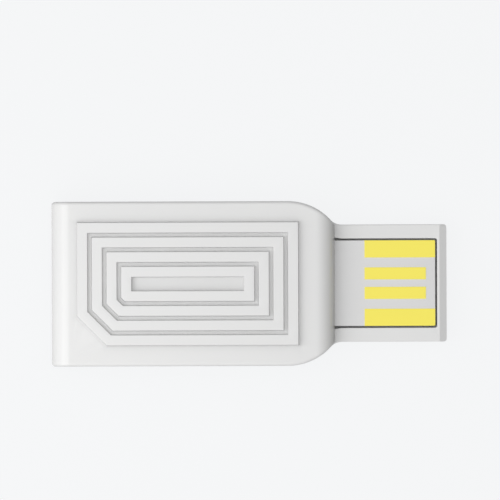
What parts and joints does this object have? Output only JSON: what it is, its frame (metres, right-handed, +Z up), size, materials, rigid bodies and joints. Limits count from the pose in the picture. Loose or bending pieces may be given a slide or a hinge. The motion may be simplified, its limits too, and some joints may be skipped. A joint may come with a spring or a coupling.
{
  "type": "usb bluetooth adapter",
  "caption": "Flat white USB radio adapter: a body with a relief of nested rings, and a slim plug with gold contacts set flush in a tray.",
  "frame": {"origin": "middle of the flat underside, half way along and across the whole adapter", "axes": "+X along the adapter from the closed rear end to the plug's tip, +Y across, +Z up out of the face with the relief and the contacts"},
  "size_m": [0.0404, 0.0168, 0.0049],
  "materials": {
    "white_shell": "satin moulded plastic",
    "board_laminate": "white solder mask over glass-fibre laminate",
    "gold_contact": "thin matt gold plating",
    "copper_trace": "printed copper line",
    "chip_body": "moulded epoxy",
    "plated_metal": "plated lid on a ceramic base",
    "ferrite": "sintered ferrite",
    "resistor_film": "coated ceramic with tinned ends",
    "ceramic_chip": "ceramic block with tinned ends"
  },
  "bodies": {
    "root": {"antenna_trace": "copper_trace", "bottom_shell": "white_shell", "circuit_board": "board_laminate", "contact_data_minus": "gold_contact", "contact_data_plus": "gold_contact", "contact_ground": "gold_contact", "contact_power": "gold_contact", "crystal": "plated_metal", "crystal_capacitor_1": "ceramic_chip", "crystal_capacitor_2": "ceramic_chip", "data_resistor_1": "resistor_film", "data_resistor_2": "resistor_film", "decoupling_capacitor_1": "ceramic_chip", "decoupling_capacitor_2": "ceramic_chip", "decoupling_capacitor_3": "ceramic_chip", "decoupling_capacitor_4": "ceramic_chip", "ferrite_bead": "ferrite", "matching_capacitor_1": "ceramic_chip", "matching_capacitor_2": "ceramic_chip", "matching_coil": "ceramic_chip", "memory_capacitor": "ceramic_chip", "memory_chip": "chip_body", "memory_resistor": "resistor_film", "radio_chip": "chip_body", "supply_capacitor_1": "ceramic_chip", "supply_capacitor_2": "ceramic_chip", "surge_protector": "chip_body", "top_cover": "white_shell", "voltage_regulator": "chip_body"}
  },
  "joints": []
}
